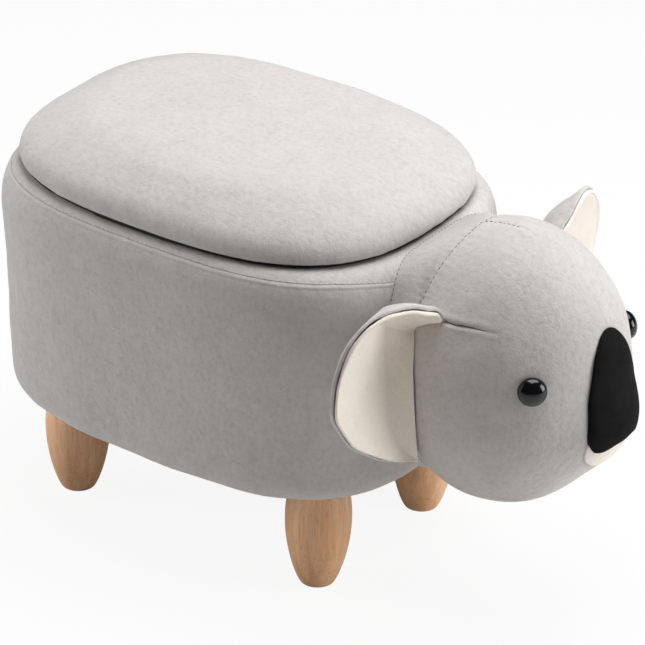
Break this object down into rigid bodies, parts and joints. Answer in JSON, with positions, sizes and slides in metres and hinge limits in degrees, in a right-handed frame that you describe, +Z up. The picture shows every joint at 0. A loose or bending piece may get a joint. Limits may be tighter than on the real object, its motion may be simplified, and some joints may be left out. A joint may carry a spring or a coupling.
{
  "type": "animal storage footstool",
  "caption": "Padded storage footstool in the shape of a koala, with a hinged cushion lid, turned wooden legs and a stuffed head at the front.",
  "frame": {"origin": "on the floor, under the middle of the overall bounding box", "axes": "+X from the tail end to the head, +Y to the animal's left, where the lid is hinged, +Z up"},
  "size_m": [0.6564, 0.4402, 0.4049],
  "materials": {
    "grey_fabric": "short velvet pile, light grey",
    "cream_fabric": "cream short pile",
    "black_felt": "black felt",
    "black_cloth": "black non-woven cloth",
    "foam": "open-cell upholstery foam",
    "filling": "white fibre filling",
    "leg_wood": "clear satin varnish on beech",
    "plywood": "raw plywood",
    "black_plastic": "polished black",
    "white_plastic": "moulded white",
    "steel": "zinc plated"
  },
  "bodies": {
    "box": {"base_board": "plywood", "body_cover": "grey_fabric", "bottom_cloth": "black_cloth", "chin_patch": "cream_fabric", "ear_back_left": "grey_fabric", "ear_back_right": "grey_fabric", "ear_lining_left": "cream_fabric", "ear_lining_right": "cream_fabric", "eye_left": "black_plastic", "eye_right": "black_plastic", "eye_washer_left": "white_plastic", "eye_washer_right": "white_plastic", "head_board": "plywood", "head_filling": "filling", "head_panel_left": "grey_fabric", "head_panel_right": "grey_fabric", "head_screw_lower": "steel", "head_screw_upper": "steel", "hinge_leaf_body_front": "steel", "hinge_leaf_body_rear": "steel", "hinge_pin_front": "steel", "hinge_pin_rear": "steel", "hinge_screw_body_front_1": "steel", "hinge_screw_body_front_2": "steel", "hinge_screw_body_rear_1": "steel", "hinge_screw_body_rear_2": "steel", "leg_bolt_front_left": "steel", "leg_bolt_front_right": "steel", "leg_bolt_rear_left": "steel", "leg_bolt_rear_right": "steel", "leg_front_left": "leg_wood", "leg_front_right": "leg_wood", "leg_nut_front_left": "steel", "leg_nut_front_right": "steel", "leg_nut_rear_left": "steel", "leg_nut_rear_right": "steel", "leg_rear_left": "leg_wood", "leg_rear_right": "leg_wood", "neck_band": "grey_fabric", "nose_pad": "black_felt", "rim_facing": "grey_fabric", "rim_ring": "plywood", "side_padding": "foam", "storage_lining": "black_cloth", "wall_shell": "plywood"},
    "lid": {"hinge_leaf_lid_front": "steel", "hinge_leaf_lid_rear": "steel", "hinge_screw_lid_front_1": "steel", "hinge_screw_lid_front_2": "steel", "hinge_screw_lid_rear_1": "steel", "hinge_screw_lid_rear_2": "steel", "lid_board": "plywood", "lid_cover": "grey_fabric", "lid_foam": "foam", "lid_panel": "black_cloth"}
  },
  "joints": [
    {"name": "lid_hinge", "type": "hinge", "parent": "box", "child": "lid", "pos_m": [-0.09823, 0.172, 0.35495], "axis": [-1, 0, 0], "range_deg": [0, 95]}
  ]
}
